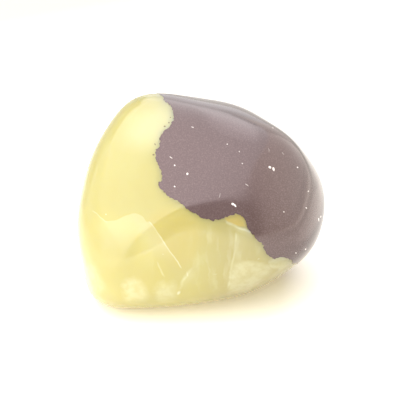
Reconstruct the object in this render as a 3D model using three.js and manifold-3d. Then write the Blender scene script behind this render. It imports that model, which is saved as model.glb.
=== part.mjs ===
// Prehnite specimen: one hand-polished stone in which translucent prehnite
// has grown against a dark basalt host rock. The stone is a soft wedge with
// a flat foot, a tall left end and a right end that overhangs. Its two
// natural bodies are two meshes that share one rough contact.
// Units are millimetres and degrees, +Z is up, the front faces -Y and the
// origin lies under the middle of the stone, on the surface it rests on.

import * as THREE from 'three';
import { mergeVertices } from 'three/addons/utils/BufferGeometryUtils.js';
import Module from 'manifold-3d';

// ---- Driving dimensions -------------------------------------------------

// The stone's inner centre, from which its flats are measured, seen from
// the origin. Its height is also the height above the flat foot.
const CENTRE = new THREE.Vector3(-0.17, 0.14, 12);

// The flats that tumbling has left. Azimuth 0 faces the front and 90 the
// right; elevation 90 faces up; distance runs from the inner centre.
const FLATS = [
  { name: 'foot', azimuth: 0, elevation: -90, distance: 12.2 },
  { name: 'left wall', azimuth: -90, elevation: -4, distance: 17.55 },
  { name: 'upper left flank', azimuth: -104, elevation: 24, distance: 16.6 },
  { name: 'peak', azimuth: -128, elevation: 50, distance: 19.2 },
  { name: 'crown', azimuth: 150, elevation: 64, distance: 15.3 },
  { name: 'top', azimuth: 60, elevation: 80, distance: 16.3 },
  { name: 'right shoulder', azimuth: 114, elevation: 43, distance: 15.75 },
  { name: 'right nose', azimuth: 88, elevation: 2, distance: 17.95 },
  { name: 'right underside', azimuth: 106, elevation: -25, distance: 17.8 },
  { name: 'lower right', azimuth: 60, elevation: -47, distance: 14.7 },
  { name: 'front foot edge', azimuth: 10, elevation: -50, distance: 14.6 },
  { name: 'lower front', azimuth: 6, elevation: 2, distance: 14.5 },
  { name: 'upper front', azimuth: 6, elevation: 38, distance: 14.5 },
  { name: 'front right', azimuth: 50, elevation: 22, distance: 17.0 },
  { name: 'left front slope', azimuth: -34, elevation: 34, distance: 15.6 },
  { name: 'front left', azimuth: -58, elevation: -14, distance: 20.5 },
  { name: 'back', azimuth: 172, elevation: 2, distance: 14.2 },
  { name: 'back left', azimuth: -138, elevation: -8, distance: 17.0 },
  { name: 'back right', azimuth: 138, elevation: 4, distance: 16.4 },
  { name: 'back top', azimuth: -172, elevation: 36, distance: 15.6 },
];
const EDGE_SHARPNESS = 9; // higher leaves crisper edges between the flats
// The slow waves that polishing leaves on the skin: height, radians for
// each millimetre along X, Y and Z, and starting angle in radians.
const SKIN_WAVES = [
  { height: 0.06, run: new THREE.Vector3(0.31, 0.35, -0.42), start: 3.0 },
  { height: 0.05, run: new THREE.Vector3(0.47, -0.41, -0.38), start: 6.0 },
  { height: 0.03, run: new THREE.Vector3(0.47, 0.41, 0.38), start: -1.0 },
];
const SURFACE_DETAIL = 14; // subdivisions of the icosahedron

// The contact is drawn on a plane square to a line that drops towards the
// back by this angle, and then carried through the stone along that line.
const CONTACT_DROP = 25;
// The contact from above the crown to beyond the lower right edge:
// millimetres to the right of the inner centre and above it.
const CONTACT_POINTS = [
  [-7.8, 21.0], [-7.0, 18.0], [-5.9, 15.6], [-5.3, 14.6], [-4.3, 13.8],
  [-3.6, 12.6], [-3.8, 11.0], [-4.4, 10.2], [-5.4, 9.4], [-5.5, 8.1], [-6.2, 6.6],
  [-5.5, 4.7], [-5.4, 3.1], [-5.7, 2.5], [-4.3, 1.0], [-3.0, 0.4],
  [-1.4, -0.8], [0.7, -1.9], [2.4, -2.0], [4.2, -1.3], [5.2, -1.3],
  [6.2, -2.1], [6.6, -3.0], [8.3, -5.1], [8.6, -5.9], [9.8, -7.0],
  [11.1, -6.9], [12.9, -7.9], [16.0, -9.4], [21.0, -11.0],
];
const FAR_CORNER = [24, 24]; // beyond the stone on the basalt side
const CONTACT_SEGMENTS = 52;
const CONTACT_GAP = 0.3; // between the two meshes
const CONTACT_REACH = 22; // in front of and behind the inner centre
const CONTACT_STEPS = 14;
// The contact's roughness, as waves along its right, up and forward ways.
const CONTACT_WAVES = [
  { height: 0.11, run: new THREE.Vector3(0.5, -0.4, -1.5), start: 0 },
  { height: 0.11, run: new THREE.Vector3(0.5, 0.4, -0.3), start: 0 },
];
// Behind this depth the basalt spreads under the prehnite.
const SPREAD_START = 1;
const SPREAD_LEFT = 0.3; // millimetres to the left for each of depth
const SPREAD_DOWN = 0.16; // millimetres down for each of depth

// ---- Stone --------------------------------------------------------------

/** Unit vector for an azimuth and an elevation in degrees. */
function direction(azimuth, elevation) {
  const turn = THREE.MathUtils.degToRad(azimuth);
  const rise = THREE.MathUtils.degToRad(elevation);
  return new THREE.Vector3(
    Math.sin(turn) * Math.cos(rise),
    -Math.cos(turn) * Math.cos(rise),
    Math.sin(rise),
  );
}

const FLAT_NORMALS = FLATS.map((flat) => direction(flat.azimuth, flat.elevation));

/** Height of a sum of waves at a point, in millimetres. */
function waveHeight(waves, point) {
  return waves.reduce(
    (total, wave) => total + wave.height * Math.sin(point.dot(wave.run) + wave.start),
    0,
  );
}

/** Point of the stone's skin in a direction, from the inner centre. */
function skinPoint(unit) {
  const sum = FLATS.reduce((total, flat, index) => {
    const share = Math.max(0, unit.dot(FLAT_NORMALS[index])) / flat.distance;
    return total + share ** EDGE_SHARPNESS;
  }, 0);
  const point = unit.clone().multiplyScalar(sum ** (-1 / EDGE_SHARPNESS));
  return point.addScaledVector(unit, waveHeight(SKIN_WAVES, point));
}

/** Closed skin of the whole stone, before its foot is made flat. */
function stoneSkin() {
  const geometry = new THREE.IcosahedronGeometry(1, SURFACE_DETAIL);
  const position = geometry.attributes.position;
  const unit = new THREE.Vector3();
  for (let index = 0; index < position.count; index += 1) {
    unit.fromBufferAttribute(position, index).normalize();
    const point = skinPoint(unit).add(CENTRE);
    position.setXYZ(index, point.x, point.y, point.z);
  }
  return geometry;
}

/** Block under the resting plane, which takes off the foot's round. */
function footBlock() {
  const side = 60;
  const height = 10;
  return new THREE.BoxGeometry(side, side, height).translate(0, 0, -height / 2);
}

// ---- Contact ------------------------------------------------------------

/** Basalt side of the contact as a closed outline, moved by an offset. */
function basaltOutline(offset) {
  const curve = new THREE.SplineCurve(
    CONTACT_POINTS.map(([right, up]) => new THREE.Vector2(right, up)),
  );
  const outline = [];
  for (let step = 0; step <= CONTACT_SEGMENTS; step += 1) {
    const along = step / CONTACT_SEGMENTS;
    const tangent = curve.getTangentAt(along);
    const towardsBasalt = new THREE.Vector2(-tangent.y, tangent.x);
    outline.push(curve.getPointAt(along).addScaledVector(towardsBasalt, offset));
  }
  const [farRight, farUp] = FAR_CORNER;
  outline.push(new THREE.Vector2(farRight, outline.at(-1).y));
  outline.push(new THREE.Vector2(farRight, farUp));
  outline.push(new THREE.Vector2(outline[0].x, farUp));
  return outline;
}

/** Rough and spreading course of the contact; point.z runs to the front. */
function bendContact(point) {
  const roughness = waveHeight(CONTACT_WAVES, point);
  const behind = Math.max(0, -point.z - SPREAD_START);
  point.x += roughness - SPREAD_LEFT * behind;
  point.y += roughness - SPREAD_DOWN * behind;
  return point;
}

/** Everything on the basalt side of the contact, right through the stone. */
function basaltSide(offset) {
  const geometry = new THREE.ExtrudeGeometry(new THREE.Shape(basaltOutline(offset)), {
    depth: 2 * CONTACT_REACH,
    steps: CONTACT_STEPS,
    bevelEnabled: false,
  }).translate(0, 0, -CONTACT_REACH);
  const drop = THREE.MathUtils.degToRad(CONTACT_DROP);
  const rightWay = new THREE.Vector3(1, 0, 0);
  const upWay = new THREE.Vector3(0, Math.sin(drop), Math.cos(drop));
  const frontWay = new THREE.Vector3(0, -Math.cos(drop), Math.sin(drop));
  const position = geometry.attributes.position;
  const local = new THREE.Vector3();
  for (let index = 0; index < position.count; index += 1) {
    bendContact(local.fromBufferAttribute(position, index));
    const point = CENTRE.clone()
      .addScaledVector(rightWay, local.x)
      .addScaledVector(upWay, local.y)
      .addScaledVector(frontWay, local.z);
    position.setXYZ(index, point.x, point.y, point.z);
  }
  return geometry;
}

// ---- Solids -------------------------------------------------------------

const wasm = await Module();
wasm.setup();

/** Solid with the shape of a closed geometry. */
function toSolid(geometry) {
  geometry.deleteAttribute('normal');
  geometry.deleteAttribute('uv');
  const merged = mergeVertices(geometry);
  return new wasm.Manifold(new wasm.Mesh({
    numProp: 3,
    vertProperties: new Float32Array(merged.attributes.position.array),
    triVerts: new Uint32Array(merged.index.array),
  }));
}

/** Geometry with the faces of a solid. */
function toGeometry(solid) {
  const mesh = solid.getMesh();
  const geometry = new THREE.BufferGeometry();
  geometry.setAttribute('position', new THREE.BufferAttribute(mesh.vertProperties, 3));
  geometry.setIndex(new THREE.BufferAttribute(mesh.triVerts, 1));
  geometry.computeVertexNormals();
  return geometry;
}

/** Named mesh of a solid in its own material. */
function namedMesh(name, solid, material) {
  const mesh = new THREE.Mesh(toGeometry(solid), material);
  mesh.name = name;
  return mesh;
}

// ---- Specimen -----------------------------------------------------------

const prehniteMaterial = new THREE.MeshStandardMaterial({
  color: '#efe896',
  roughness: 0.15,
  metalness: 0,
});
const basaltMaterial = new THREE.MeshStandardMaterial({
  color: '#7d6563',
  roughness: 0.2,
  metalness: 0,
});

const stone = toSolid(stoneSkin()).subtract(toSolid(footBlock()));
const prehnite = stone.subtract(toSolid(basaltSide(-CONTACT_GAP / 2)));
const basalt = stone.intersect(toSolid(basaltSide(CONTACT_GAP / 2)));

const specimen = new THREE.Group();
specimen.name = 'prehnite_specimen';
specimen.add(namedMesh('prehnite', prehnite, prehniteMaterial));
specimen.add(namedMesh('basalt_matrix', basalt, basaltMaterial));

export default specimen;
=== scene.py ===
"""A prehnite specimen: one polished stone of prehnite grown against basalt.

The stone's form is a set of flats that tumbling has left, rounded into each
other. The rough contact parts it into the prehnite, which is see-through and
cloudy, and the basalt, which is dense and fine-grained.
"""

import logging
import math
from dataclasses import dataclass
from enum import Enum
from typing import Any

import bpy
import numpy as np
from bpy.types import Material, Node, NodeSocket, NodeTree
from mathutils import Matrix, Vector, noise


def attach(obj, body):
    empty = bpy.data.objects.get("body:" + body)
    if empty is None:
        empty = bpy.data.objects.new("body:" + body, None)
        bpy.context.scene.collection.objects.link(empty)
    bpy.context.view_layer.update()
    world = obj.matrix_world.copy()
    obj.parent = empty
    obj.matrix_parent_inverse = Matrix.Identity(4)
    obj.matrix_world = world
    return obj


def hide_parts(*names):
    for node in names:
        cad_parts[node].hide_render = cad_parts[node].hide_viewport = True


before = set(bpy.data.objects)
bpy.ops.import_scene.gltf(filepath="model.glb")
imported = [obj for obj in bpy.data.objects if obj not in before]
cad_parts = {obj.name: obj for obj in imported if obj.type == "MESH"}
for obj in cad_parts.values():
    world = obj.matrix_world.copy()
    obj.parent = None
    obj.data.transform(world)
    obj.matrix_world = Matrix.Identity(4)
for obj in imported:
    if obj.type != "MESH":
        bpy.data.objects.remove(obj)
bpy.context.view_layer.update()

LOG = logging.getLogger("prehnite_specimen")

MM = 0.001  # metres in a millimetre

Pair = tuple[float, float]
Triple = tuple[float, float, float]


# ---- Shared helpers -------------------------------------------------------


def linear(hex_colour: str) -> tuple[float, float, float, float]:
    """Turn an sRGB hex colour into the linear colour that sockets take.

    Args:
        hex_colour: six hex digits with a leading #.

    Returns:
        Linear red, green, blue and an alpha of 1.
    """
    channels = [int(hex_colour[start : start + 2], 16) / 255 for start in (1, 3, 5)]
    values = [
        value / 12.92 if value <= 0.04045 else ((value + 0.055) / 1.055) ** 2.4
        for value in channels
    ]
    return (values[0], values[1], values[2], 1.0)


def add_node(
    tree: NodeTree,
    kind: str,
    settings: dict[str, Any] | None = None,
    inputs: dict[Any, Any] | None = None,
) -> Node:
    """Add a shader node with its settings and its inputs.

    Args:
        tree: the node tree that it goes in.
        kind: the node's type name, without ShaderNode in front.
        settings: values for the node's own attributes.
        inputs: for each input, by name or number, a value, an output socket,
            or a node whose first output it takes.

    Returns:
        The new node.
    """
    node = tree.nodes.new("ShaderNode" + kind)
    for name, value in (settings or {}).items():
        setattr(node, name, value)
    for name, value in (inputs or {}).items():
        if isinstance(value, Node):
            value = value.outputs[0]
        if isinstance(value, NodeSocket):
            tree.links.new(value, node.inputs[name])
        else:
            node.inputs[name].default_value = value
    return node


def ramp(
    tree: NodeTree,
    value: Any,
    span: Pair,
    result: Pair = (0.0, 1.0),
    shape: str = "SMOOTHSTEP",
) -> Node:
    """Turn a value's course over a span into a result, held beyond its ends.

    Args:
        tree: the node tree.
        value: a node or socket with the value.
        span: the values at which the result starts and ends.
        result: what it is at those two.
        shape: how it goes from one to the other, in Map Range's own words.

    Returns:
        A node with the result.
    """
    inputs = {"Value": value, "From Min": span[0], "From Max": span[1]}
    inputs |= {"To Min": result[0], "To Max": result[1]}
    return add_node(tree, "MapRange", {"interpolation_type": shape}, inputs)


def work_out(tree: NodeTree, operation: str, *values: Any) -> Node:
    """Add a math node that works on numbers, sockets or nodes."""
    return add_node(tree, "Math", {"operation": operation}, dict(enumerate(values)))


def strongest(tree: NodeTree, covers: list[Node]) -> Node:
    """Join several covers into one: the greatest at each point."""
    total = covers[0]
    for cover in covers[1:]:
        total = work_out(tree, "MAXIMUM", total, cover)
    return total


def along(tree: NodeTree, place: Any, way: Any) -> NodeSocket:
    """How far a place is along a way."""
    node = add_node(tree, "VectorMath", {"operation": "DOT_PRODUCT"}, {0: place, 1: way})
    return node.outputs["Value"]


def mottling(tree: NodeTree, place: Any, length: float, detail: float) -> Node:
    """Soft random clouds, so many millimetres from one to the next."""
    return add_node(
        tree, "TexNoise", None, {"Vector": place, "Scale": 1 / length, "Detail": detail}
    )


def mix(tree: NodeTree, share: Any, under: Any, over: Any) -> Node:
    """Lay one colour over another; each is a hex colour or a node."""
    colours = [linear(colour) if isinstance(colour, str) else colour for colour in (under, over)]
    inputs = {"Fac": share, "Color1": colours[0], "Color2": colours[1]}
    return add_node(tree, "MixRGB", None, inputs)


def blank_material(name: str) -> tuple[Material, NodeTree]:
    """Make a material with an empty node tree, and give both."""
    material = bpy.data.materials.new(name)
    material.use_nodes = True
    material.node_tree.nodes.clear()
    return material, material.node_tree


def select_only(piece: bpy.types.Object) -> None:
    """Make one object the only one selected, and the active one."""
    bpy.ops.object.select_all(action="DESELECT")
    piece.select_set(True)
    bpy.context.view_layer.objects.active = piece


def wave_height(waves: tuple["Wave", ...], points: np.ndarray) -> np.ndarray:
    """Height of a sum of waves at each point, in millimetres."""
    total = np.zeros(len(points))
    for wave in waves:
        total += wave.height * np.sin(points @ np.array(wave.run) + wave.start)
    return total


# ---- Form -----------------------------------------------------------------


@dataclass(frozen=True)
class Flat:
    """A flat that tumbling has left, seen from the stone's inner centre."""

    name: str
    azimuth: float  # degrees; 0 faces the front, 90 the right
    elevation: float  # degrees; 90 faces up
    distance: float  # millimetres

    def normal(self) -> np.ndarray:
        """Unit vector that the flat faces along."""
        turn, rise = math.radians(self.azimuth), math.radians(self.elevation)
        level = math.cos(rise)
        return np.array((math.sin(turn) * level, -math.cos(turn) * level, math.sin(rise)))


@dataclass(frozen=True)
class Wave:
    """A slow wave: its height, its radians for each millimetre, its start."""

    height: float
    run: Triple
    start: float


@dataclass(frozen=True)
class StoneForm:
    """The whole stone's form, from its flats. Its sizes are in millimetres."""

    centre: Triple = (-0.17, 0.14, 12.0)
    edge_sharpness: float = 9.0
    view_drop: float = 25.0  # degrees that the front view looks down
    weld: float = 0.0001
    detail: int = 7  # times that the round it starts from is divided
    farthest: float = 30.0  # beyond any point of the skin
    halvings: int = 30  # of that distance, to find the skin
    flats: tuple[Flat, ...] = (
        Flat("foot", 0, -90, 12.2),
        Flat("left wall", -90, -4, 17.55),
        Flat("upper left flank", -104, 24, 16.6),
        Flat("peak", -128, 50, 19.2),
        Flat("crown", 150, 64, 15.3),
        Flat("top", 60, 80, 16.3),
        Flat("right shoulder", 114, 43, 15.75),
        Flat("right nose", 88, 2, 17.95),
        Flat("right underside", 106, -25, 17.8),
        Flat("lower right", 60, -47, 14.7),
        Flat("front foot edge", 10, -50, 14.6),
        Flat("lower front", 6, 2, 14.5),
        Flat("upper front", 6, 38, 14.5),
        Flat("front right", 50, 22, 17.0),
        Flat("left front slope", -34, 34, 15.6),
        Flat("front left", -58, -14, 20.5),
        Flat("back", 172, 2, 14.2),
        Flat("back left", -138, -8, 17.0),
        Flat("back right", 138, 4, 16.4),
        Flat("back top", -172, 36, 15.6),
    )
    skin_waves: tuple[Wave, ...] = (
        Wave(0.06, (0.31, 0.35, -0.42), 3.0),
        Wave(0.05, (0.47, -0.41, -0.38), 6.0),
        Wave(0.03, (0.47, 0.41, 0.38), -1.0),
    )

    def axes(self) -> tuple[np.ndarray, np.ndarray, np.ndarray]:
        """Right, up and forward ways of the front view, as unit vectors."""
        drop = math.radians(self.view_drop)
        right = np.array((1.0, 0.0, 0.0))
        up = np.array((0.0, math.sin(drop), math.cos(drop)))
        forward = np.array((0.0, -math.cos(drop), math.sin(drop)))
        return right, up, forward

    def reach(self, units: np.ndarray) -> np.ndarray:
        """Distance from the inner centre to the skin along unit vectors."""
        normals = np.array([flat.normal() / flat.distance for flat in self.flats])
        shares = np.maximum(0.0, units @ normals.T) ** self.edge_sharpness
        distance = shares.sum(axis=1) ** (-1 / self.edge_sharpness)
        return distance + wave_height(self.skin_waves, units * distance[:, None])

    def skin(self, units: np.ndarray, proud: float = 0.0) -> np.ndarray:
        """Points of the skin in the part's frame, in metres.

        Args:
            units: unit vectors from the inner centre.
            proud: millimetres that the points stand off the skin.

        Returns:
            One point for each unit vector.
        """
        local = units * (self.reach(units) + proud)[:, None]
        return (local + np.array(self.centre)) * MM

    def depth_at(self, right: float, up: float) -> float:
        """Forward distance of the front skin, in millimetres.

        Args:
            right: millimetres to the right of the inner centre.
            up: millimetres above it, as the front view shows them.

        Returns:
            How far in front of the inner centre the skin is.
        """
        right_way, up_way, forward_way = self.axes()
        inside, outside = 0.0, self.farthest
        for _ in range(self.halvings):
            middle = (inside + outside) / 2
            point = right * right_way + up * up_way + middle * forward_way
            length = np.linalg.norm(point)
            if length < self.reach(point[None, :] / length)[0]:
                inside = middle
            else:
                outside = middle
        return inside

    def whole(self, name: str, proud: float) -> bpy.types.Object:
        """Model the whole stone, with its foot worn flat.

        Args:
            name: the object's name.
            proud: millimetres that the skin stands off the form.

        Returns:
            A closed mesh object.
        """
        bpy.ops.object.select_all(action="DESELECT")
        bpy.ops.mesh.primitive_ico_sphere_add(subdivisions=self.detail, radius=1.0)
        stone = bpy.context.object
        stone.name = name
        mesh = stone.data
        units = np.zeros(len(mesh.vertices) * 3)
        mesh.vertices.foreach_get("co", units)
        units = units.reshape(-1, 3)
        units /= np.linalg.norm(units, axis=1, keepdims=True)
        mesh.vertices.foreach_set("co", self.skin(units, proud).ravel())
        mesh.update()
        bpy.ops.object.mode_set(mode="EDIT")
        bpy.ops.mesh.select_all(action="SELECT")
        bpy.ops.mesh.bisect(
            plane_co=(0, 0, 0),
            plane_no=(0, 0, 1),
            use_fill=True,
            clear_inner=True,
            threshold=self.weld * MM,
        )
        bpy.ops.object.mode_set(mode="OBJECT")
        return stone


@dataclass(frozen=True)
class Contact:
    """The rough contact between the two bodies, in millimetres.

    It is drawn in the front view, to the right of the inner centre and above
    it, and carried back through the stone along the line of that view.
    """

    points: tuple[Pair, ...] = (
        (-7.8, 21.0), (-7.0, 18.0), (-5.9, 15.6), (-5.3, 14.6), (-4.3, 13.8), (-3.6, 12.6),
        (-3.8, 11.0), (-4.4, 10.2), (-5.4, 9.4), (-5.5, 8.1), (-6.2, 6.6), (-5.5, 4.7),
        (-5.4, 3.1), (-5.7, 2.5), (-4.3, 1.0), (-3.0, 0.4), (-1.4, -0.8), (0.7, -1.9),
        (2.4, -2.0), (4.2, -1.3), (5.2, -1.3), (6.2, -2.1), (6.6, -3.0), (8.3, -5.1),
        (8.6, -5.9), (9.8, -7.0), (11.1, -6.9), (12.9, -7.9), (16.0, -9.4), (21.0, -11.0),
    )  # fmt: skip
    far_corner: Pair = (24.0, 24.0)
    steps_between: int = 24
    segments: int = 440
    layers: int = 80
    reach: float = 22.0
    spread_start: float = 1.0
    spread_left: float = 0.3
    spread_down: float = 0.16
    waves: tuple[Wave, ...] = (
        Wave(0.11, (0.5, -0.4, -1.5), 0.0),
        Wave(0.11, (0.5, 0.4, -0.3), 0.0),
    )
    teeth: tuple[Pair, ...] = ((1.1, 0.18), (0.5, 0.2), (0.24, 0.18))
    teeth_seed: int = 289  # without one, the teeth would differ on each run

    def course(self) -> np.ndarray:
        """Evenly spaced points of the drawn line."""
        knots = np.array(self.points)
        padded = np.vstack((knots[0], knots, knots[-1]))
        steps = np.linspace(0, 1, self.steps_between, endpoint=False)[:, None]
        pieces = []
        for index in range(len(knots) - 1):
            before, start, end, after = padded[index : index + 4]
            out_way, in_way = (end - before) / 2, (after - start) / 2
            pieces.append(
                (2 * start - 2 * end + out_way + in_way) * steps**3
                + (3 * end - 3 * start - 2 * out_way - in_way) * steps**2
                + out_way * steps
                + start
            )
        line = np.vstack((*pieces, knots[-1]))
        run = np.concatenate(([0], np.cumsum(np.linalg.norm(np.diff(line, axis=0), axis=1))))
        even = np.linspace(0, run[-1], self.segments + 1)
        return np.column_stack([np.interp(even, run, line[:, axis]) for axis in (0, 1)])

    def bend(self, points: np.ndarray) -> np.ndarray:
        """Roughen drawn points and let the basalt spread behind.

        Args:
            points: right, up and forward distances in millimetres.

        Returns:
            The same points, moved.
        """
        rough = wave_height(self.waves, points)
        behind = np.maximum(0, -points[:, 2] - self.spread_start)
        teeth = np.zeros_like(points)
        noise.seed_set(self.teeth_seed)
        for length, height in self.teeth:
            swings = [noise.noise_vector(Vector(point) / length) for point in points]
            teeth += height * np.array(swings)
        moved = points.copy()
        moved[:, 0] += rough - self.spread_left * behind + teeth[:, 0]
        moved[:, 1] += rough - self.spread_down * behind + teeth[:, 1]
        return moved

    def basalt_side(self, form: StoneForm, offset: float) -> bpy.types.Object:
        """Model everything on the basalt side, right through the stone.

        Args:
            form: the stone that the contact runs through.
            offset: millimetres that the contact is moved into the basalt.

        Returns:
            A closed mesh object, to cut with.
        """
        line = self.course()
        tangent = np.gradient(line, axis=0)
        tangent /= np.linalg.norm(tangent, axis=1, keepdims=True)
        line = line + offset * np.column_stack((-tangent[:, 1], tangent[:, 0]))
        far_right, far_up = self.far_corner
        corners = [(far_right, line[-1][1]), (far_right, far_up), (line[0][0], far_up)]
        ring = np.vstack((line, corners, line[0]))
        depths = np.linspace(-self.reach, self.reach, self.layers + 1)
        points = np.vstack(
            [np.column_stack((ring, np.full(len(ring), depth))) for depth in depths]
        )
        corner_numbers = np.arange(len(line), len(line) + len(corners))
        is_line = ~np.isin(np.arange(len(ring)), corner_numbers)
        is_line = np.tile(is_line, len(depths))
        points[is_line] = self.bend(points[is_line])
        places = (points @ np.array(form.axes()) + np.array(form.centre)) * MM
        # A grid is rolled up into a tube that follows the ring, and closed.
        bpy.ops.object.select_all(action="DESELECT")
        bpy.ops.mesh.primitive_grid_add(
            x_subdivisions=len(ring) - 1, y_subdivisions=self.layers, size=1.0
        )
        cutter = bpy.context.object
        cutter.name = "basalt_side"
        cutter.data.vertices.foreach_set("co", places.ravel())
        cutter.data.update()
        bpy.ops.object.mode_set(mode="EDIT")
        bpy.ops.mesh.select_all(action="SELECT")
        bpy.ops.mesh.remove_doubles(threshold=form.weld * MM)
        bpy.ops.mesh.select_all(action="DESELECT")
        bpy.ops.mesh.select_non_manifold()
        bpy.ops.mesh.fill_holes(sides=0)
        bpy.ops.mesh.select_all(action="SELECT")
        bpy.ops.mesh.quads_convert_to_tris()
        bpy.ops.mesh.normals_make_consistent(inside=False)
        bpy.ops.object.mode_set(mode="OBJECT")
        return cutter


class Join(Enum):
    """How a cutter is used on a stone."""

    TAKE_AWAY = "DIFFERENCE"
    KEEP_SHARED = "INTERSECT"


def cut(piece: bpy.types.Object, cutter: bpy.types.Object, join: Join) -> None:
    """Cut a piece with a cutter, and delete the cutter.

    Args:
        piece: the mesh object that is cut.
        cutter: the closed mesh object that cuts it.
        join: whether the cutter's inside goes or stays.
    """
    select_only(piece)
    modifier = piece.modifiers.new("contact", "BOOLEAN")
    modifier.object = cutter
    modifier.operation = join.value
    modifier.solver = "MANIFOLD"
    bpy.ops.object.modifier_apply(modifier=modifier.name)
    bpy.data.objects.remove(cutter)


# ---- Marks ----------------------------------------------------------------


@dataclass(frozen=True)
class Blot:
    """A rounded mark at the skin: a milky cloud, a filled vesicle, a scratch.

    Its sizes are in millimetres, along the front view's right, away and up.
    """

    right: float
    up: float
    size: Triple
    turn: float = 0.0  # degrees, anticlockwise in the front view
    strength: float = 1.0

    def cover(self, tree: NodeTree, place: Node, form: StoneForm, core: float) -> Node:
        """How much of the mark covers each point.

        Args:
            tree: the node tree.
            place: front view coordinates, in millimetres.
            form: the stone that the mark is on.
            core: the share of its radius that is covered fully.

        Returns:
            A node with the cover, from 0 to the mark's strength.
        """
        inside = add_node(
            tree,
            "Mapping",
            {"vector_type": "TEXTURE"},
            {
                "Vector": place,
                "Location": (self.right, -form.depth_at(self.right, self.up), self.up),
                "Rotation": (0.0, -math.radians(self.turn), 0.0),
                "Scale": self.size,
            },
        )
        reach = add_node(tree, "VectorMath", {"operation": "LENGTH"}, {0: inside})
        return ramp(tree, reach.outputs["Value"], (1.0, core), (0.0, self.strength))


@dataclass(frozen=True)
class Patch:
    """A region with flat sides, such as a milky veil or a clear window.

    Its outline is convex and runs clockwise, in millimetres right of the
    inner centre and above it, as the front view shows them.
    """

    name: str
    outline: tuple[Pair, ...]
    soft: float  # millimetres over which its edge fades
    strength: float

    def cover(self, tree: NodeTree, place: Node) -> Node:
        """How much of the patch covers each point.

        Args:
            tree: the node tree.
            place: front view coordinates, in millimetres.

        Returns:
            A node with the cover, from 0 to the patch's strength.
        """
        outside = None
        for start, end in zip(self.outline, self.outline[1:] + self.outline[:1]):
            side = Vector(end) - Vector(start)
            normal = Vector((-side.y, 0.0, side.x)).normalized()
            edge = normal.dot(Vector((start[0], 0.0, start[1])))
            beyond = work_out(tree, "SUBTRACT", along(tree, place, normal), edge)
            if outside is None:
                outside = beyond
                continue
            outside = work_out(tree, "SMOOTH_MAX", outside, beyond, self.soft)
        return ramp(tree, outside, (self.soft / 2, -self.soft / 2), (0.0, self.strength))


class Run(Enum):
    """Which way a crack runs in the front view, and its cross direction."""

    ACROSS = ("X", "Z")
    UPWARD = ("Z", "X")


@dataclass(frozen=True)
class Crack:
    """A healed crack: a bright line, with a milky veil spreading from it.

    Its course gives, in millimetres, a place along its run and one across it.
    """

    name: str
    runs: Run
    course: tuple[Pair, ...]
    width: float = 0.16
    shine: float = 0.5
    veil: float = 0.0
    veil_reach: float = 3.0  # negative where the veil is to the left or below
    fade: float = 0.8
    veil_fade: float = 2.5  # at the start of the course
    flicker: float = 1.4  # millimetres from one bright stretch to the next
    glint_span: Pair = (0.35, 0.6)
    dullest: float = 0.3
    margin: float = 0.01  # millimetres
    soft_side: float = 0.1  # millimetres

    def cover(self, tree: NodeTree, place: Node) -> Node:
        """How bright the crack and its veil are at each point.

        Args:
            tree: the node tree.
            place: front view coordinates, in millimetres.

        Returns:
            A node with the brightness, 0 away from the crack.
        """
        along_axis, across_axis = self.runs.value
        parts = add_node(tree, "SeparateXYZ", None, {0: place})
        steps, sides = zip(*sorted(self.course))
        length = steps[-1] - steps[0]
        low, high = min(sides) - self.margin, max(sides) + self.margin
        share = ramp(tree, parts.outputs[along_axis], (steps[0], steps[-1]), shape="LINEAR")
        curve = add_node(tree, "FloatCurve", None, {"Value": share})
        drawn = curve.mapping.curves[0].points
        knots = [
            ((step - steps[0]) / length, (side - low) / (high - low))
            for step, side in zip(steps, sides)
        ]
        drawn[0].location, drawn[-1].location = knots[0], knots[-1]
        for knot in knots[1:-1]:
            drawn.new(*knot)
        curve.mapping.update()
        middle = ramp(tree, curve, (0.0, 1.0), (low, high), "LINEAR")
        off = work_out(tree, "SUBTRACT", parts.outputs[across_axis], middle)
        near = work_out(tree, "ABSOLUTE", off)
        shine = ramp(tree, near, (self.width, 0.0), (0.0, self.shine))
        flicker = mottling(tree, place, self.flicker, detail=1.0)
        glint = ramp(tree, flicker, self.glint_span, (self.dullest, 1.0), "LINEAR")
        line = work_out(tree, "MULTIPLY", shine, glint)
        veil = ramp(tree, off, (self.veil_reach, 0.0), (0.0, self.veil), "SMOOTHERSTEP")
        soft = math.copysign(self.soft_side, self.veil_reach)
        one_side = work_out(tree, "MULTIPLY", veil, ramp(tree, off, (-soft, soft), shape="LINEAR"))
        opened = ramp(tree, share, (0.0, self.veil_fade / length))
        bright = work_out(tree, "MULTIPLY_ADD", one_side, opened, line)
        ends = work_out(tree, "PINGPONG", share, 0.5)
        within = ramp(tree, ends, (0.0, self.fade / length))
        return work_out(tree, "MULTIPLY", bright, within)


def front_place(tree: NodeTree, form: StoneForm) -> Node:
    """Give a point's place right of, behind and above the inner centre.

    Args:
        tree: the node tree.
        form: the stone, whose front view sets the directions.

    Returns:
        A node with the place, in millimetres.
    """
    place = add_node(tree, "TexCoord")
    return add_node(
        tree,
        "Mapping",
        {"vector_type": "TEXTURE"},
        {
            "Vector": place.outputs["Object"],
            "Location": tuple(Vector(form.centre) * MM),
            "Rotation": (-math.radians(form.view_drop), 0.0, 0.0),
            "Scale": (MM, MM, MM),
        },
    )


def warp(tree: NodeTree, place: Node, length: float, shift: float) -> Node:
    """Wander a place to and fro, so that a drawn edge looks grown.

    Args:
        tree: the node tree.
        place: a place in millimetres.
        length: millimetres from one bend to the next.
        shift: the most that it moves, in millimetres.

    Returns:
        A node with the moved place.
    """
    cloud = mottling(tree, place, length, detail=1.0).outputs["Color"]
    swing = add_node(
        tree, "VectorMath", {"operation": "SUBTRACT"}, {0: cloud, 1: (0.5, 0.5, 0.5)}
    )
    return add_node(
        tree,
        "VectorMath",
        {"operation": "MULTIPLY_ADD"},
        {0: swing, 1: (2 * shift,) * 3, 2: place},
    )


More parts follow.
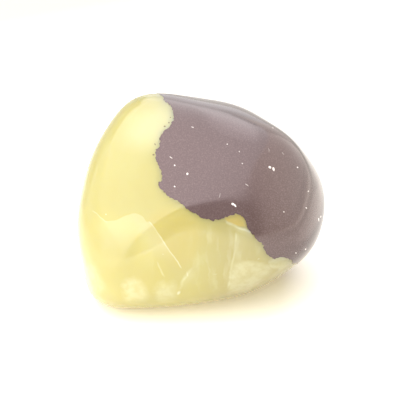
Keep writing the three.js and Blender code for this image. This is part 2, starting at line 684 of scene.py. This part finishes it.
# ---- Finishes -------------------------------------------------------------

# Where the arch on the left starts; the brow over it runs on from its end.
ARCH = (
    (-14.7, -0.7), (-14.1, -1.0), (-13.4, -1.7), (-13.0, -2.05), (-12.7, -2.2), (-11.8, -2.2),
    (-10.8, -1.8),
)  # fmt: skip


@dataclass(frozen=True)
class PolishedPrehnite:
    """Prehnite, tumbled to a wet gloss: cloudy yellow-green, lit from within.

    Light goes a few millimetres in before the cloudy stone throws it back,
    so it glows softly; healed cracks and milky clouds show paler inside.
    """

    form: StoneForm
    body: str = "#C3BD7F"
    # The shaded colour is painted shade, laid over the body's right side.
    shaded: str = "#B5AC73"
    deep: str = "#BFB36A"
    gold: str = "#C5B871"
    milk: str = "#DFDCBC"
    lens: str = "#C6B26A"
    fleck: str = "#8E7E5C"
    ior: float = 1.63  # prehnite's own
    polish: float = 0.06
    glow_depth: float = 4.0  # millimetres that the light goes in
    glow_spread: Triple = (1.0, 0.9, 0.6)  # share of that depth
    clearness: float = 0.3
    mottle: float = 7.0  # millimetres from one tone of the body to the next
    # Where the painted shade on the right starts, and where it is full.
    shaded_span: Pair = (-2.0, 5.0)  # millimetres to the right
    # Each wander: millimetres from one bend to the next, and the most it moves.
    edge_wander: Pair = (1.2, 0.1)
    crack_wander: Pair = (1.2, 0.12)
    cloud_wander: Pair = (0.9, 0.3)
    curd: float = 0.9  # millimetres
    curd_span: Pair = (0.35, 0.6)  # of the clouds' own values
    thinnest_curd: float = 0.55
    grain_core: float = 0.2
    fleck_core: float = 0.5
    front_span: Pair = (2.0, -2.0)  # millimetres behind the middle
    fibre_size: Triple = (1.1, 4.0, 4.0)
    fibre_lean: float = 0.1  # radians
    fibre_span: Pair = (0.45, 0.75)
    hidden_wander: Pair = (3.0, 1.2)
    hidden_spacing: float = 7.0  # millimetres between the cracks at the back
    hidden_width: float = 0.02  # share of that spacing
    hidden_shine: float = 0.5
    hidden_cloud: float = 4.0  # millimetres
    hidden_span: Pair = (0.5, 0.75)
    hidden_veil: float = 0.5
    tint: tuple[float, float, float, float] = (0.89, 0.83, 0.06, 1.0)
    tint_density: float = 45.0  # for each metre
    cracks: tuple[Crack, ...] = (
        Crack("arch", Run.ACROSS, ARCH, shine=0.5, fade=0.5, flicker=3.0),
        Crack(
            "brow", Run.ACROSS,
            (*ARCH, (-9.8, -1.4), (-8.9, -1.1), (-7.9, -1.4), (-7.3, -2.1), (-6.2, -3.1)),
            shine=0.06, veil=0.26, veil_reach=-8.0, fade=0.15,
        ),
        Crack(
            "right leg", Run.UPWARD,
            ((-2.1, -6.9), (-2.9, -6.2), (-4.1, -5.4), (-6.3, -3.95), (-7.8, -2.9), (-8.6, -2.4)),
            shine=0.7, veil=0.3, veil_reach=-7.0, fade=0.3, veil_fade=4.0, flicker=3.0,
        ),
        Crack(
            "inner line", Run.UPWARD,
            ((-7.3, -5.85), (-8.4, -5.4), (-9.8, -4.7)),
            width=0.24, shine=0.45, flicker=2.5,
        ),
        Crack(
            "pale edge", Run.UPWARD,
            ((-4.9, -6.1), (-6.8, -6.2), (-8.6, -6.5)),
            width=0.12, shine=0.12, veil=0.12, veil_reach=1.6,
        ),
        Crack(
            "white streak", Run.UPWARD,
            ((-8.0, -0.6), (-9.4, -1.8), (-10.5, -2.4), (-11.9, -2.9)),
            width=0.42, shine=0.45, veil=0.2, veil_reach=2.2, fade=1.6,
        ),
        Crack(
            "upright", Run.UPWARD,
            ((-3.2, 4.75), (-4.9, 4.75), (-6.4, 4.6), (-8.0, 4.3), (-9.5, 4.05), (-10.7, 3.9),
             (-11.6, 3.5)),
            width=0.22, shine=0.32, veil=0.12, veil_reach=2.5,
        ),
        Crack(
            "lens edge", Run.ACROSS,
            ((3.3, -2.1), (4.05, -2.5), (4.8, -2.8), (5.6, -3.2), (6.2, -3.35), (7.2, -3.7)),
            width=0.32, shine=0.55, veil=0.3, veil_reach=-1.2, fade=0.3,
        ),
    )  # fmt: skip
    veils: tuple[Patch, ...] = (
        Patch(
            "left veil",
            ((-15.3, -8.4), (-14.9, -7.7), (-14.2, -7.9), (-13.4, -9.3), (-12.6, -11.3),
             (-13.5, -11.8), (-14.9, -9.9)),
            1.0, 0.3,
        ),
        Patch(
            "foot veil",
            ((-10.5, -10.7), (-9.4, -9.8), (-8.2, -9.9), (-7.3, -10.9), (-6.9, -12.1),
             (-7.6, -13.1), (-9.9, -13.1)),
            1.3, 0.5,
        ),
        Patch(
            "second foot veil",
            ((-6.1, -10.9), (-4.7, -10.2), (-3.2, -10.6), (-3.1, -12.4), (-4.7, -13.3),
             (-5.9, -12.9)),
            1.2, 0.4,
        ),
        Patch(
            "right veil",
            ((3.7, -10.9), (4.1, -8.7), (5.0, -7.6), (7.2, -7.6), (9.9, -8.3), (9.8, -8.8),
             (6.9, -11.5), (3.9, -12.1)),
            0.8, 0.42,
        ),
        Patch(
            "tip veil",
            ((9.4, -8.5), (9.4, -7.3), (10.5, -6.9), (11.9, -7.2), (12.3, -7.9), (11.0, -8.8)),
            0.5, 0.4,
        ),
    )  # fmt: skip
    # A milky cloud at the crown, painted pale right up to the contact. Near the contact it is
    # painted light, which lifts the shade of the basalt behind.
    crown_milk_and_painted_light: Patch = Patch(
        "crown cloud",
        ((-10.4, 8.4), (-10.2, 11.2), (-8.0, 13.6), (-4.2, 14.6), (-1.4, 14.0), (-1.2, 10.6),
         (-4.2, 7.6)),
        4.0, 0.5,
    )  # fmt: skip
    golden_window: Patch = Patch(
        "golden window",
        ((-6.9, -4.2), (-6.9, -1.4), (0.2, 1.0), (0.1, -4.2), (-1.0, -8.2), (-3.3, -8.6)),
        1.6, 0.7,
    )
    contact_lens: Patch = Patch(
        "contact lens",
        ((3.6, -2.2), (3.3, -1.7), (4.15, -1.1), (5.25, -1.1), (5.95, -1.7), (6.7, -2.7),
         (6.5, -2.95), (5.5, -2.85), (4.5, -2.6)),
        0.16, 1.0,
    )  # fmt: skip
    grains: tuple[Blot, ...] = (
        Blot(-12.65, -1.23, (0.14, 0.3, 0.14)),
        Blot(-2.9, -11.9, (0.3, 0.6, 0.6), -15, 0.8),
        Blot(-5.0, -6.6, (0.12, 0.3, 0.12), 0, 0.4),
        Blot(7.9, -7.2, (0.25, 0.5, 0.1), 20, 0.4),
        Blot(2.0, -9.3, (0.5, 0.5, 0.1), 5, 0.35),
        Blot(-1.7, -9.3, (0.15, 0.5, 0.5), 10, 0.4),
    )
    flecks: tuple[Blot, ...] = (
        Blot(-4.75, 10.62, (0.18, 0.3, 0.15)),
        Blot(-4.2, 11.1, (0.12, 0.3, 0.14)),
        Blot(-3.98, 11.82, (0.1, 0.3, 0.1)),
        Blot(-6.25, 6.75, (0.2, 0.3, 0.16)),
        Blot(-6.05, 8.2, (0.1, 0.3, 0.22), 20),
    )
    fibre_region: Patch = Patch(
        "fibre region",
        ((-1.8, -11.6), (-0.6, -3.0), (2.6, -2.4), (7.4, -4.2), (10.0, -8.0), (4.0, -12.0)),
        2.5, 0.22,
    )

    def milkiness(self, tree: NodeTree, place: Node) -> Node:
        """How milky each point is, from cracks, clouds and growth.

        Args:
            tree: the node tree.
            place: front view coordinates, in millimetres.

        Returns:
            A node with the milkiness.
        """
        fine = warp(tree, place, *self.crack_wander)
        grown = warp(tree, fine, *self.cloud_wander)
        cracks = strongest(tree, [crack.cover(tree, fine) for crack in self.cracks])
        veils = strongest(tree, [veil.cover(tree, grown) for veil in self.veils])
        curds = mottling(tree, fine, self.curd, detail=3.0)
        body = ramp(tree, curds, self.curd_span, (self.thinnest_curd, 1.0), "LINEAR")
        curdled = work_out(tree, "MULTIPLY", veils, body)
        grains = strongest(
            tree, [grain.cover(tree, fine, self.form, self.grain_core) for grain in self.grains]
        )
        # Milk at the crown, with painted light near the contact.
        crown = self.crown_milk_and_painted_light.cover(tree, place)
        clouds = strongest(tree, [curdled, grains, crown, self.fibres(tree, grown)])
        marks = work_out(tree, "ADD", cracks, clouds)
        parts = add_node(tree, "SeparateXYZ", None, {0: place})
        front = ramp(tree, parts.outputs["Y"], self.front_span)
        shown = work_out(tree, "MULTIPLY", marks, front)
        hidden = work_out(tree, "SUBTRACT", 1.0, front)
        elsewhere = self.hidden_cracks(tree, place)
        return work_out(tree, "MULTIPLY_ADD", elsewhere, hidden, shown)

    def fibres(self, tree: NodeTree, place: Node) -> Node:
        """Faint upright sheaves, about 1.1 mm apart, in the clear lower right.

        Args:
            tree: the node tree.
            place: front view coordinates, in millimetres.

        Returns:
            A node with their milkiness.
        """
        drawn = add_node(
            tree,
            "Mapping",
            None,
            {
                "Vector": place,
                "Rotation": (0.0, self.fibre_lean, 0.0),
                "Scale": tuple(1 / size for size in self.fibre_size),
            },
        )
        sheaf = mottling(tree, drawn, 1.0, detail=2.0)
        band = ramp(tree, sheaf, self.fibre_span)
        return work_out(tree, "MULTIPLY", band, self.fibre_region.cover(tree, place))

    def hidden_cracks(self, tree: NodeTree, place: Node) -> Node:
        """Healed cracks about 7 mm apart, with milky clouds between them.

        Args:
            tree: the node tree.
            place: front view coordinates, in millimetres.

        Returns:
            A node with their brightness.
        """
        grown = warp(tree, place, *self.hidden_wander)
        edges = add_node(
            tree,
            "TexVoronoi",
            {"feature": "DISTANCE_TO_EDGE"},
            {"Vector": grown, "Scale": 1 / self.hidden_spacing},
        )
        line = ramp(
            tree, edges.outputs["Distance"], (self.hidden_width, 0.0), (0.0, self.hidden_shine)
        )
        cloud = mottling(tree, grown, self.hidden_cloud, detail=2.0)
        patch = ramp(tree, cloud, self.hidden_span)
        lit = work_out(tree, "MULTIPLY", line, patch)
        return work_out(tree, "MULTIPLY_ADD", patch, self.hidden_veil, lit)

    def material(self) -> Material:
        """Build the node material."""
        material, tree = blank_material("polished_prehnite")
        place = front_place(tree, self.form)
        near = warp(tree, place, *self.edge_wander)
        ground = mix(tree, mottling(tree, place, self.mottle, detail=2.0), self.deep, self.body)
        # Painted shade: the body turns to the shaded colour towards its right, where the basalt
        # lies behind it.
        parts = add_node(tree, "SeparateXYZ", None, {0: place})
        painted_shade_share = ramp(tree, parts.outputs["X"], self.shaded_span)
        dimmed = mix(tree, painted_shade_share, ground, self.shaded)
        clear = mix(tree, self.golden_window.cover(tree, near), dimmed, self.gold)
        deepest = mix(tree, self.contact_lens.cover(tree, near), clear, self.lens)
        milky = mix(tree, self.milkiness(tree, place), deepest, self.milk)
        flecks = [fleck.cover(tree, near, self.form, self.fleck_core) for fleck in self.flecks]
        colour = mix(tree, strongest(tree, flecks), milky, self.fleck)
        shader = add_node(
            tree,
            "BsdfPrincipled",
            {"subsurface_method": "RANDOM_WALK"},
            {
                "Base Color": colour,
                "Roughness": self.polish,
                "IOR": self.ior,
                "Subsurface Weight": 1.0,
                "Subsurface Radius": self.glow_spread,
                "Subsurface Scale": self.glow_depth * MM,
                "Transmission Weight": self.clearness,
            },
        )
        depth = add_node(
            tree, "VolumeAbsorption", None, {"Color": self.tint, "Density": self.tint_density}
        )
        add_node(tree, "OutputMaterial", None, {"Surface": shader, "Volume": depth})
        return material


@dataclass(frozen=True)
class PolishedBasalt:
    """Basalt, tumbled to a gloss: dense, mauve-brown, with a fine salt grain.

    The grain is feldspar and pyroxene of about a quarter of a millimetre;
    small vesicles are filled with a white mineral and polished flush.
    """

    form: StoneForm
    ground: str = "#4F3E3D"
    warm: str = "#473732"
    feldspar: str = "#665554"
    filling: str = "#F2EBE4"
    sheen: str = "#FFEFF2"
    browner_way: Triple = (0.8, 0.0, -0.6)
    ior: float = 1.8  # between pyroxene and iron ore
    polish: float = 0.12
    tone_wander: Pair = (8.0, 4.0)
    tone_span: Pair = (0.0, 11.0)  # millimetres along that way
    grain: float = 0.16  # millimetres
    grain_span: Pair = (0.45, 0.85)
    filling_wander: Pair = (0.25, 0.07)
    filling_core: float = 0.6
    fillings: tuple[Blot, ...] = (
        Blot(-3.4, 5.35, (0.13, 0.3, 0.12)),
        Blot(-1.7, 4.2, (0.15, 0.3, 0.14)),
        Blot(-3.4, 2.5, (0.11, 0.3, 0.11)),
        Blot(-3.9, 6.4, (0.26, 0.3, 0.08), -35, 0.6),
        Blot(-1.0, 10.5, (0.22, 0.4, 0.07), -20, 0.55),
        Blot(3.65, 8.2, (0.1, 0.3, 0.09), 0, 0.7),
        Blot(9.4, 5.1, (0.24, 0.3, 0.17), -20),
        Blot(9.9, 4.85, (0.18, 0.3, 0.32), 10),
        Blot(4.4, 0.15, (0.25, 0.3, 0.18), -20),
        Blot(4.7, -0.05, (0.25, 0.3, 0.14), -45),
        Blot(9.9, 10.5, (0.2, 0.4, 0.07), -30, 0.8),
        Blot(13.2, 5.1, (0.12, 0.3, 0.12)),
        Blot(14.7, 1.9, (0.13, 0.3, 0.13), 0, 0.9),
        Blot(14.4, -0.4, (0.16, 0.3, 0.12), -30),
        Blot(16.2, -2.0, (0.14, 0.5, 0.42), 20),
        Blot(16.5, -1.6, (0.12, 0.5, 0.28), -35),
        Blot(5.7, 5.6, (0.09, 0.3, 0.09), 0, 0.6),
        Blot(5.3, 7.2, (0.08, 0.3, 0.08), 0, 0.6),
        Blot(6.3, 2.7, (0.34, 0.3, 0.05), -35, 0.45),
        Blot(2.65, 1.3, (0.04, 0.3, 0.4), -12, 0.3),
        Blot(11.2, 7.0, (0.05, 0.3, 0.28), 38, 0.3),
        Blot(9.3, 7.4, (0.04, 0.3, 0.4), 6, 0.25),
        Blot(16.0, 4.3, (0.05, 0.4, 0.35), 25, 0.3),
        Blot(14.35, -6.0, (0.14, 0.4, 0.13), 0, 0.9),
        Blot(13.0, -6.5, (0.11, 0.4, 0.11), 0, 0.8),
        Blot(11.3, -0.9, (0.13, 0.3, 0.1), 10, 0.6),
    )

    def material(self) -> Material:
        """Build the node material."""
        material, tree = blank_material("polished_basalt")
        place = front_place(tree, self.form)
        browner = along(tree, warp(tree, place, *self.tone_wander), self.browner_way)
        ground = mix(tree, ramp(tree, browner, self.tone_span), self.ground, self.warm)
        grain = mottling(tree, place, self.grain, detail=2.0)
        salt = ramp(tree, grain, self.grain_span, shape="LINEAR")
        speckled = mix(tree, salt, ground, self.feldspar)
        ragged = warp(tree, place, *self.filling_wander)
        fillings = [
            filling.cover(tree, ragged, self.form, self.filling_core) for filling in self.fillings
        ]
        colour = mix(tree, strongest(tree, fillings), speckled, self.filling)
        shader = add_node(
            tree,
            "BsdfPrincipled",
            None,
            {
                "Base Color": colour,
                "Roughness": self.polish,
                "IOR": self.ior,
                "Specular Tint": linear(self.sheen),
            },
        )
        add_node(tree, "OutputMaterial", None, {"Surface": shader})
        return material


# ---- Bodies ---------------------------------------------------------------

CRISP_ANGLE = 35  # degrees; a sharper edge isn't smoothed


@dataclass
class PrehniteBody:
    """The prehnite: the left and lower part of the stone."""

    form: StoneForm
    contact: Contact
    overlap: float = 0.25  # millimetres that it runs on into the basalt

    def build(self) -> bpy.types.Object:
        """Model the prehnite, dress it and put it on its body."""
        piece = self.form.whole("prehnite_body", proud=0.0)
        cut(piece, self.contact.basalt_side(self.form, self.overlap), Join.TAKE_AWAY)
        dress(piece, PolishedPrehnite(self.form).material())
        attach(piece, "root")
        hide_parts("prehnite")
        return piece


@dataclass
class BasaltBody:
    """The basalt host rock: the upper and right part of the stone."""

    form: StoneForm
    contact: Contact
    proud: float = 0.02  # millimetres, so that it hides the prehnite's edge

    def build(self) -> bpy.types.Object:
        """Model the basalt, dress it and put it on its body."""
        piece = self.form.whole("basalt_body", proud=self.proud)
        cut(piece, self.contact.basalt_side(self.form, 0.0), Join.KEEP_SHARED)
        dress(piece, PolishedBasalt(self.form).material())
        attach(piece, "root")
        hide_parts("basalt_matrix")
        return piece


def dress(piece: bpy.types.Object, material: Material) -> None:
    """Smooth a body's worn skin, keep its contact crisp, and give it a finish.

    Args:
        piece: the body's mesh object.
        material: its material.
    """
    select_only(piece)
    bpy.ops.object.shade_smooth_by_angle(angle=math.radians(CRISP_ANGLE))
    piece.data.materials.clear()
    piece.data.materials.append(material)


# ---- Studio ---------------------------------------------------------------


class Facing(Enum):
    """Which way a panel throws its light."""

    LEFT = (-1.0, 0.0, 0.0)
    RIGHT = (1.0, 0.0, 0.0)
    FRONT = (0.0, -1.0, 0.0)
    BACK = (0.0, 1.0, 0.0)
    DOWN = (0.0, 0.0, -1.0)
    UP = (0.0, 0.0, 1.0)
    STONE = (0.0, 0.0, 0.0)  # at the middle of its foot


@dataclass(frozen=True)
class SoftPanel:
    """A rectangular soft light, with its sizes in millimetres."""

    name: str
    place: Triple
    facing: Facing
    width: float
    height: float
    radiance: float
    colour: str = "#FFFFFF"
    mirrored: bool = True  # False where polish doesn't show the panel
    scatters: bool = True  # False where it only shows in polish

    def build(self) -> bpy.types.Object:
        """Hang the panel."""
        light = bpy.data.lights.new(self.name, "AREA")
        light.shape = "RECTANGLE"
        light.color = linear(self.colour)[:3]
        light.size = self.width * MM
        light.size_y = self.height * MM
        # Four times the area turns a panel's radiance into its watts.
        light.energy = 4 * self.radiance * light.size * light.size_y
        panel = bpy.data.objects.new(self.name, light)
        bpy.context.scene.collection.objects.link(panel)
        place = Vector(self.place) * MM
        panel.location = place
        aim = -place if self.facing is Facing.STONE else Vector(self.facing.value)
        panel.rotation_euler = aim.to_track_quat("-Z", "Y").to_euler()
        panel.visible_glossy = self.mirrored
        panel.visible_diffuse = self.scatters
        panel.visible_camera = self.scatters
        return panel


def middles(start: float, lengths: list[float]) -> list[float]:
    """Middle of each of several lengths, laid end to end from a start."""
    return [start + sum(lengths[:count]) + length / 2 for count, length in enumerate(lengths)]


@dataclass(frozen=True)
class Studio:
    """A pale floor, soft panels and the front view's camera."""

    form: StoneForm
    panels: tuple[SoftPanel, ...] = (
        SoftPanel("left_panel", (-600, -70, 124), Facing.RIGHT, 840, 248, 1.1),
        SoftPanel("left_back_panel", (-600, 575, 124), Facing.RIGHT, 450, 248, 0.5),
        SoftPanel("front_left_panel", (-442, -490, 124), Facing.BACK, 316, 248, 1.35),
        SoftPanel("back_left_panel", (-350, 800, 125), Facing.FRONT, 500, 250, 0.5),
        SoftPanel("back_panel", (25, 800, 125), Facing.FRONT, 250, 250, 1.05),
        SoftPanel("right_back_panel", (169, 800, 125), Facing.FRONT, 38, 250, 0.9),
        SoftPanel("top_back_left_panel", (-365, 515, 250), Facing.DOWN, 470, 570, 0.4),
        SoftPanel("top_back_panel", (10, 700, 250), Facing.DOWN, 280, 200, 1.0),
        SoftPanel("back_corner_panel", (169, 615, 250), Facing.DOWN, 38, 370, 0.8),
        SoftPanel("bright_top", (98, 215, 249), Facing.DOWN, 80, 430, 0.35, scatters=False),
        SoftPanel("brightest_top", (100, 195, 248), Facing.DOWN, 50, 270, 0.3, scatters=False),
        SoftPanel("near_card", (67, 18, 0.5), Facing.UP, 64, 65, 0.26, "#FFF0E0", scatters=False),
        SoftPanel("wide_card", (113, 25, 1), Facing.UP, 146, 150, 0.26, "#FFF0E0", scatters=False),
        SoftPanel("front_fill", (-380, -690, 260), Facing.STONE, 900, 500, 2.2, mirrored=False),
        SoftPanel(
            "low_fill", (-230, -375, 40), Facing.STONE, 500, 80, 3.6, "#FFF4DC", mirrored=False
        ),
    )
    # The top panel, in strips that dim towards its right edge: the width,
    # radiance and back end of each, from the left.
    top_height: float = 250.0
    top_left: float = -600.0
    top_front: float = -490.0
    top_strips: tuple[Triple, ...] = (
        (470, 1.7, 230), (200, 1.65, 600), (45, 1.6, 600), (35, 1.6, 600), (38, 1.55, 430),
    )
    # The low front panel, that fades upwards: height and radiance of each
    # strip from the floor up.
    front_span: Pair = (-283.0, 188.0)
    front_heights: tuple[Pair, ...] = (
        (20, 0.85), (25, 0.6), (30, 0.42), (35, 0.32), (140, 0.25),
    )
    # The right wall, in strips: height and radiance from the floor up, and
    # length and share of that radiance from its front end back.
    right_wall: float = 188.0
    right_wall_back: float = 800.0
    right_tint: str = "#FFF7EF"
    right_heights: tuple[Pair, ...] = (
        (16, 1.3), (24, 1.42), (40, 1.62), (170, 1.65),
    )
    right_lengths: tuple[Pair, ...] = (
        (170, 0.1), (80, 0.3), (70, 0.52), (90, 0.67), (70, 0.79), (70, 0.92), (350, 1.0),
        (500, 0.64),
    )  # fmt: skip
    floor_side: float = 3000.0  # millimetres
    floor_colour: str = "#F6F6F6"
    # The floor's warm glow is painted light. It stands in for light that passes through the
    # prehnite into the shadows.
    floor_glow: str = "#FDE9B6"
    floor_glow_strength: float = 0.34
    # The floor is painted darker far behind the stone, a painted shade that the polish mirrors:
    # along which way, from where to where in millimetres, and to what share.
    dim_way: Triple = (-0.5, 1.0, 0.0)
    dim_span: Pair = (66.0, 116.0)
    dim_share: float = 0.54
    room: float = 0.1
    camera_distance: float = 450.0  # millimetres from the inner centre
    view_width: float = 55.29  # millimetres across the picture at the stone
    sensor: float = 36.0
    drop_in_view: float = 0.69  # millimetres that the inner centre is below the aim

    def build(self) -> None:
        """Lay the floor, hang the panels and set up the camera."""
        bpy.ops.object.select_all(action="DESELECT")
        bpy.ops.mesh.primitive_plane_add(size=self.floor_side * MM)
        floor = bpy.context.object
        floor.name = "studio_floor"
        floor.data.materials.append(self.floor_material())
        strips = (*self.top_panels(), *self.front_panels(), *self.right_panels())
        for panel in (*self.panels, *strips):
            panel.build()
        self.build_room()
        self.build_camera()

    def top_panels(self) -> list[SoftPanel]:
        """Cut the top panel into strips, so that its right edge is soft."""
        widths = [width for width, _, _ in self.top_strips]
        panels = []
        for across, (width, radiance, back) in zip(middles(self.top_left, widths), self.top_strips):
            place = (across, (self.top_front + back) / 2, self.top_height)
            length = back - self.top_front
            name = f"top_panel_{len(panels)}"
            panels.append(SoftPanel(name, place, Facing.DOWN, width, length, radiance))
        return panels

    def front_panels(self) -> list[SoftPanel]:
        """Stack the low front panel's strips, so that it fades upwards."""
        left, right = self.front_span
        heights = [height for height, _ in self.front_heights]
        panels = []
        for up, (height, radiance) in zip(middles(0.0, heights), self.front_heights):
            place = ((left + right) / 2, self.top_front, up)
            name = f"front_panel_{len(panels)}"
            panels.append(SoftPanel(name, place, Facing.BACK, right - left, height, radiance))
        return panels

    def right_panels(self) -> list[SoftPanel]:
        """Cut the right wall into strips, so that its edges are soft."""
        heights = [height for height, _ in self.right_heights]
        lengths = [length for length, _ in self.right_lengths]
        aways = middles(self.right_wall_back - sum(lengths), lengths)
        panels = []
        for up, (height, radiance) in zip(middles(0.0, heights), self.right_heights):
            for away, (length, share) in zip(aways, self.right_lengths):
                panels.append(
                    SoftPanel(
                        f"right_panel_{len(panels)}",
                        (self.right_wall, away, up),
                        Facing.LEFT,
                        length,
                        height,
                        radiance * share,
                        self.right_tint,
                        scatters=False,
                    )
                )
        return panels

    def floor_material(self) -> Material:
        """White paper: matt, with no gloss at all. It is painted darker far behind the stone and
        given a warm painted glow.
        """
        material, tree = blank_material("white_paper_painted_glow")
        place = add_node(tree, "TexCoord").outputs["Object"]
        # Painted shade: the paper darkens far behind the stone.
        start, end = self.dim_span
        away = along(tree, place, self.dim_way)
        share = ramp(tree, away, (start * MM, end * MM), (1.0, self.dim_share), "LINEAR")
        colour = linear(self.floor_colour)[:3]
        paper = add_node(tree, "VectorMath", {"operation": "SCALE"}, {0: colour, "Scale": share})
        # The warm painted glow, dimmed along with the painted shade.
        glow = work_out(tree, "MULTIPLY", share, self.floor_glow_strength)
        shader = add_node(
            tree,
            "BsdfPrincipled",
            None,
            {
                "Base Color": paper,
                "Roughness": 1.0,
                "Specular IOR Level": 0.0,
                "Emission Color": linear(self.floor_glow),
                "Emission Strength": glow,
            },
        )
        add_node(tree, "OutputMaterial", None, {"Surface": shader})
        return material

    def build_room(self) -> None:
        """Fill the room with a little even light."""
        world = bpy.data.worlds.new("studio_room")
        world.use_nodes = True
        background = world.node_tree.nodes["Background"]
        background.inputs["Color"].default_value = (1, 1, 1, 1)
        background.inputs["Strength"].default_value = self.room
        bpy.context.scene.world = world

    def build_camera(self) -> None:
        """Look down at the stone's front from a long way off."""
        camera = bpy.data.cameras.new("front_camera")
        camera.sensor_width = self.sensor
        camera.lens = self.sensor * self.camera_distance / self.view_width
        camera.clip_start = 10 * MM
        holder = bpy.data.objects.new("front_camera", camera)
        bpy.context.scene.collection.objects.link(holder)
        _, up, forward = (Vector(way) for way in self.form.axes())
        aim = Vector(self.form.centre) + up * self.drop_in_view
        holder.location = (aim + forward * self.camera_distance) * MM
        holder.rotation_euler = (-forward).to_track_quat("-Z", "Y").to_euler()
        scene = bpy.context.scene
        scene.camera = holder
        scene.view_settings.view_transform = "Standard"


def main() -> None:
    """Build the stone's two bodies and the studio round them."""
    logging.basicConfig(level=logging.INFO, format="%(name)s: %(message)s")
    form = StoneForm()
    contact = Contact()
    for body in (PrehniteBody(form, contact), BasaltBody(form, contact)):
        piece = body.build()
        LOG.info("%s: %d faces", piece.name, len(piece.data.polygons))
    Studio(form).build()
    LOG.info("studio: floor, panels and camera")


if __name__ == "__main__":
    main()
